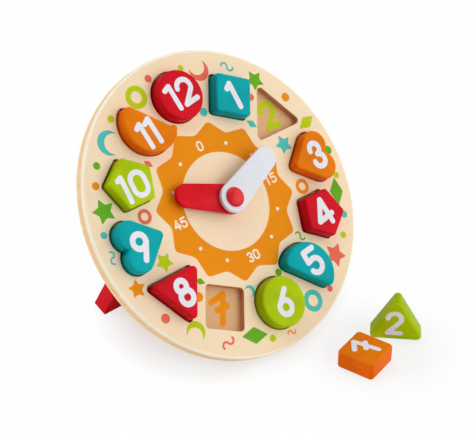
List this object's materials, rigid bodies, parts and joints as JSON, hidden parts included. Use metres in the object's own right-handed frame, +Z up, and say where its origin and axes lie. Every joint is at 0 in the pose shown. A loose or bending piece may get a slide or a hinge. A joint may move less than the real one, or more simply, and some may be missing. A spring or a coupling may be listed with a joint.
{
  "type": "clock puzzle",
  "caption": "Round wooden clock puzzle on a fold-out stand, with numbered blocks of different shapes that lift out of recesses and turning hour and minute hands.",
  "frame": {"origin": "on the tabletop, below the middle of the whole object's box, loose blocks included", "axes": "+Z up, the dial faces -Y and leans back 40 degrees, 3 o'clock is at +X"},
  "size_m": [0.29, 0.273, 0.2289],
  "materials": {
    "birch": "pale birch plywood, clear satin lacquer",
    "pale_birch": "bare sanded birch",
    "red_paint": "wood under satin red paint",
    "orange_paint": "wood under satin orange paint",
    "lime_paint": "wood under satin lime green paint",
    "teal_paint": "wood under satin teal paint",
    "white_paint": "wood under satin white paint",
    "washer_plastic": "plain white plastic",
    "screw_steel": "zinc-plated steel"
  },
  "bodies": {
    "board": {"front_board": "birch", "back_board": "pale_birch", "hand_peg": "red_paint", "hand_spacer": "pale_birch", "hand_washer": "washer_plastic", "peg_retainer": "pale_birch", "hinge_block_left": "pale_birch", "hinge_block_right": "pale_birch", "hinge_pin_left": "pale_birch", "hinge_pin_right": "pale_birch", "hinge_screw_1": "screw_steel", "hinge_screw_2": "screw_steel", "hinge_screw_3": "screw_steel", "hinge_screw_4": "screw_steel"},
    "hour_hand": {"hour_hand": "red_paint"},
    "minute_hand": {"minute_hand": "white_paint"},
    "stand": {"stand_frame": "red_paint"},
    "block_1": {"block_1": "teal_paint"},
    "block_2": {"block_2": "lime_paint"},
    "block_3": {"block_3": "orange_paint"},
    "block_4": {"block_4": "red_paint"},
    "block_5": {"block_5": "teal_paint"},
    "block_6": {"block_6": "lime_paint"},
    "block_7": {"block_7": "orange_paint"},
    "block_8": {"block_8": "red_paint"},
    "block_9": {"block_9": "teal_paint"},
    "block_10": {"block_10": "lime_paint"},
    "block_11": {"block_11": "orange_paint"},
    "block_12": {"block_12": "red_paint"}
  },
  "joints": [
    {"name": "hour_hand_turn", "type": "hinge", "parent": "board", "child": "hour_hand", "pos_m": [0, 0.03405, 0.1188], "axis": [0, 0.766, -0.6428], "continuous": true},
    {"name": "minute_hand_turn", "type": "hinge", "parent": "board", "child": "minute_hand", "pos_m": [0, 0.03405, 0.1188], "axis": [0, 0.766, -0.6428], "continuous": true},
    {"name": "stand_fold", "type": "hinge", "parent": "board", "child": "stand", "pos_m": [0, 0.06541, 0.12381], "axis": [-1, 0, 0], "range_deg": [0, 60]},
    {"name": "block_1_lift", "type": "slide", "parent": "board", "child": "block_1", "axis": [0, -0.766, 0.6428], "range_m": [0, 0.04]},
    {"name": "block_2_lift", "type": "slide", "parent": "board", "child": "block_2", "axis": [0, 0, 1], "range_m": [0, 0.06]},
    {"name": "block_3_lift", "type": "slide", "parent": "board", "child": "block_3", "axis": [0, -0.766, 0.6428], "range_m": [0, 0.04]},
    {"name": "block_4_lift", "type": "slide", "parent": "board", "child": "block_4", "axis": [0, -0.766, 0.6428], "range_m": [0, 0.04]},
    {"name": "block_5_lift", "type": "slide", "parent": "board", "child": "block_5", "axis": [0, -0.766, 0.6428], "range_m": [0, 0.04]},
    {"name": "block_6_lift", "type": "slide", "parent": "board", "child": "block_6", "axis": [0, -0.766, 0.6428], "range_m": [0, 0.04]},
    {"name": "block_7_lift", "type": "slide", "parent": "board", "child": "block_7", "axis": [0, 0, 1], "range_m": [0, 0.06]},
    {"name": "block_8_lift", "type": "slide", "parent": "board", "child": "block_8", "axis": [0, -0.766, 0.6428], "range_m": [0, 0.04]},
    {"name": "block_9_lift", "type": "slide", "parent": "board", "child": "block_9", "axis": [0, -0.766, 0.6428], "range_m": [0, 0.04]},
    {"name": "block_10_lift", "type": "slide", "parent": "board", "child": "block_10", "axis": [0, -0.766, 0.6428], "range_m": [0, 0.04]},
    {"name": "block_11_lift", "type": "slide", "parent": "board", "child": "block_11", "axis": [0, -0.766, 0.6428], "range_m": [0, 0.04]},
    {"name": "block_12_lift", "type": "slide", "parent": "board", "child": "block_12", "axis": [0, -0.766, 0.6428], "range_m": [0, 0.04]}
  ]
}
